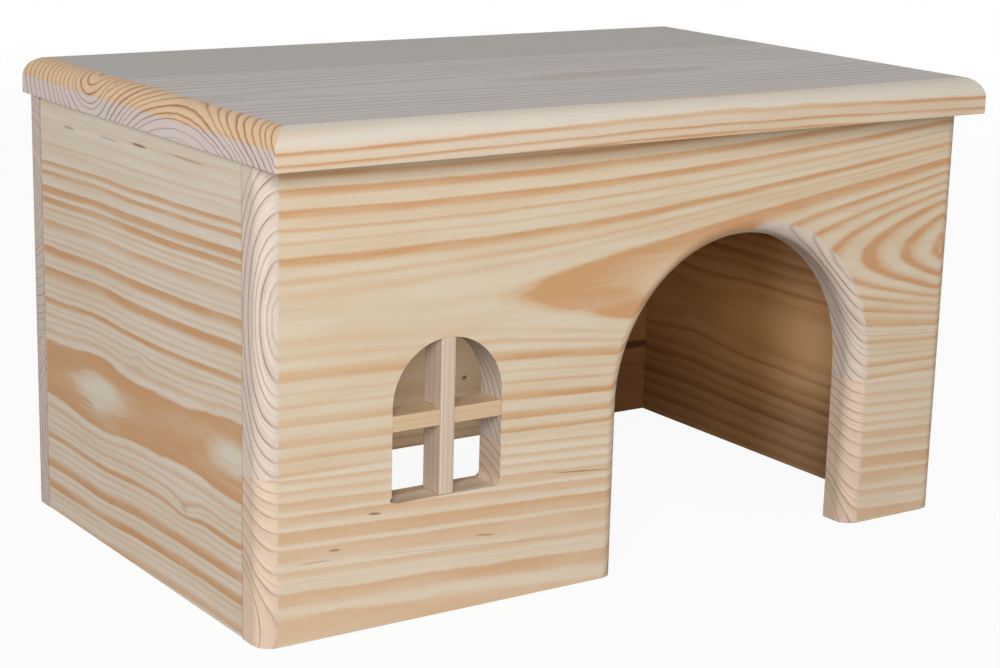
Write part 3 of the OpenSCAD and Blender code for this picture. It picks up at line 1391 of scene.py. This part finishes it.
@dataclass(frozen=True)
class SoftBox:
    """A square lamp that faces its aim, placed by its direction from there in degrees.

    At the full spread, level is the lightness that it alone would give to a white card that
    faces it. A narrow spread gathers the same power into a far brighter beam.
    """

    name: str
    azimuth: float
    elevation: float
    level: float
    size: float = 1.0
    distance: float = 1.8
    gives_sheen: bool = True
    aim: Point = (0.0, 0.0, 0.08)
    spread: float = 180.0

    def build(self) -> None:
        """Hangs the lamp: its power is level times the square of pi times the distance."""
        data = bpy.data.lights.new(self.name, "AREA")
        data.shape = "SQUARE"
        data.size = self.size
        data.energy = self.level * (math.pi * self.distance) ** 2
        data.spread = math.radians(self.spread)
        lamp = bpy.data.objects.new(self.name, data)
        lamp.visible_glossy = self.gives_sheen
        lamp.visible_camera = False
        back = towards(self.azimuth, self.elevation)
        lamp.matrix_world = (
            Matrix.Translation(Vector(self.aim) + back * self.distance)
            @ back.to_track_quat("Z", "Y").to_matrix().to_4x4()
        )
        bpy.context.scene.collection.objects.link(lamp)


@dataclass(frozen=True)
class Studio:
    """A pale floor, a dim even room, soft boxes round the house and one small beam inside.

    floor_glow is the share of the floor's own white in what the camera sees. The floor fades
    out over floor_rim, in shares of its radius.
    """

    room_level: float = 0.17
    lamps: tuple[SoftBox, ...] = (
        SoftBox("front_box", azimuth=-33.0, elevation=22.0, level=0.88, size=0.85, distance=1.5),
        SoftBox("left_box", azimuth=-100.0, elevation=6.0, level=0.20),
        SoftBox("rear_box", azimuth=135.0, elevation=4.0, level=0.60, gives_sheen=False),
        SoftBox(
            "door_box",
            azimuth=8.0,
            elevation=8.0,
            level=0.0074,
            size=0.06,
            distance=0.34,
            gives_sheen=False,
            aim=(0.045, -0.08, 0.045),
            spread=12.0,
        ),
    )
    floor_radius: float = 1.6
    floor_sides: int = 96
    floor_drop: float = 0.05
    floor_rim: Span = (0.5, 0.97)
    floor_glow: float = 0.93
    seen_paper: Paint = (0.9, 0.9, 0.9, 1.0)
    lit_paper: Paint = (0.46, 0.43, 0.39, 1.0)
    white: Paint = (1.0, 1.0, 1.0, 1.0)

    def build(self) -> None:
        """Makes the floor, the lamps and the world."""
        self._room()
        for lamp in self.lamps:
            lamp.build()
        self._floor()
        bpy.context.scene.view_settings.view_transform = "Standard"

    @staticmethod
    def _seen(graph: Graph, *kinds: str) -> Value:
        """1 for rays of the given kinds, such as Camera or Glossy, and 0 for all others."""
        total: Value | None = None
        for kind in kinds:
            ray = graph.node("ShaderNodeLightPath", output=f"Is {kind} Ray")
            total = ray if total is None else total.math("MAXIMUM", ray)
        return total

    def _room(self) -> None:
        """A world that lights evenly and is seen as white."""
        world = bpy.data.worlds.new("room")
        world.use_nodes = True
        bpy.context.scene.world = world
        graph = Graph(world.node_tree)
        seen = self._seen(graph, "Camera", "Glossy", "Transmission")
        strength = seen * (1.0 - self.room_level) + self.room_level
        light = graph.node("ShaderNodeBackground", None, {"Color": self.white, "Strength": strength})
        graph.node("ShaderNodeOutputWorld", None, {"Surface": light})

    def _floor(self) -> None:
        """A round white floor that keeps the shadow, fades at its rim and is clear from below."""
        rim = np.linspace(0, 2 * np.pi, self.floor_sides, endpoint=False)
        ring = np.stack([np.cos(rim), np.sin(rim), np.zeros_like(rim)], axis=1) * self.floor_radius
        ring[:, 2] = -self.floor_drop * MM
        mesh = bpy.data.meshes.new("floor")
        mesh.from_pydata(ring.tolist(), [], [list(range(len(ring)))])
        floor = bpy.data.objects.new("floor", mesh)
        bpy.context.scene.collection.objects.link(floor)
        made = bpy.data.materials.new("floor_paper")
        made.use_nodes = True
        graph = Graph(made.node_tree)
        place = graph.node("ShaderNodeTexCoord", output="Object")
        distance = graph.node("ShaderNodeVectorMath", {"operation": "LENGTH"}, {"Vector": place}, "Value")
        rim_fade = graph.step(distance, *(share * self.floor_radius for share in self.floor_rim))
        paper = graph.node("ShaderNodeBsdfDiffuse", None, {"Color": self.seen_paper})
        glow = graph.node("ShaderNodeEmission", None, {"Color": self.white, "Strength": 1.0})
        seen_floor = graph.node("ShaderNodeMixShader", None, {0: self.floor_glow, 1: paper, 2: glow})
        lit_floor = graph.node("ShaderNodeBsdfDiffuse", None, {"Color": self.lit_paper})
        seen = self._seen(graph, "Camera", "Transmission")
        both = graph.node("ShaderNodeMixShader", None, {0: seen, 1: lit_floor, 2: seen_floor})
        clear = graph.node("ShaderNodeBsdfTransparent")
        below = graph.node("ShaderNodeNewGeometry", output="Backfacing")
        hidden = rim_fade.math("MAXIMUM", below)
        faded = graph.node("ShaderNodeMixShader", None, {0: hidden, 1: both, 2: clear})
        graph.node("ShaderNodeOutputMaterial", None, {"Surface": faded})
        mesh.materials.append(made)


def main() -> None:
    """Builds the house, sub-assembly by sub-assembly, and the studio round it."""
    logging.basicConfig(level=logging.INFO, format="%(name)s: %(message)s")
    Camera().build()
    pieces: list[bpy.types.Object] = []
    for assembly in (FrontPanel(), SidePanels(), BackPanel(), Roof(), WindowBars()):
        pieces += assembly.build()
    Dowels().dress()
    Studio().build()
    log.info("%d boards built", len(pieces))


if __name__ == "__main__":
    main()
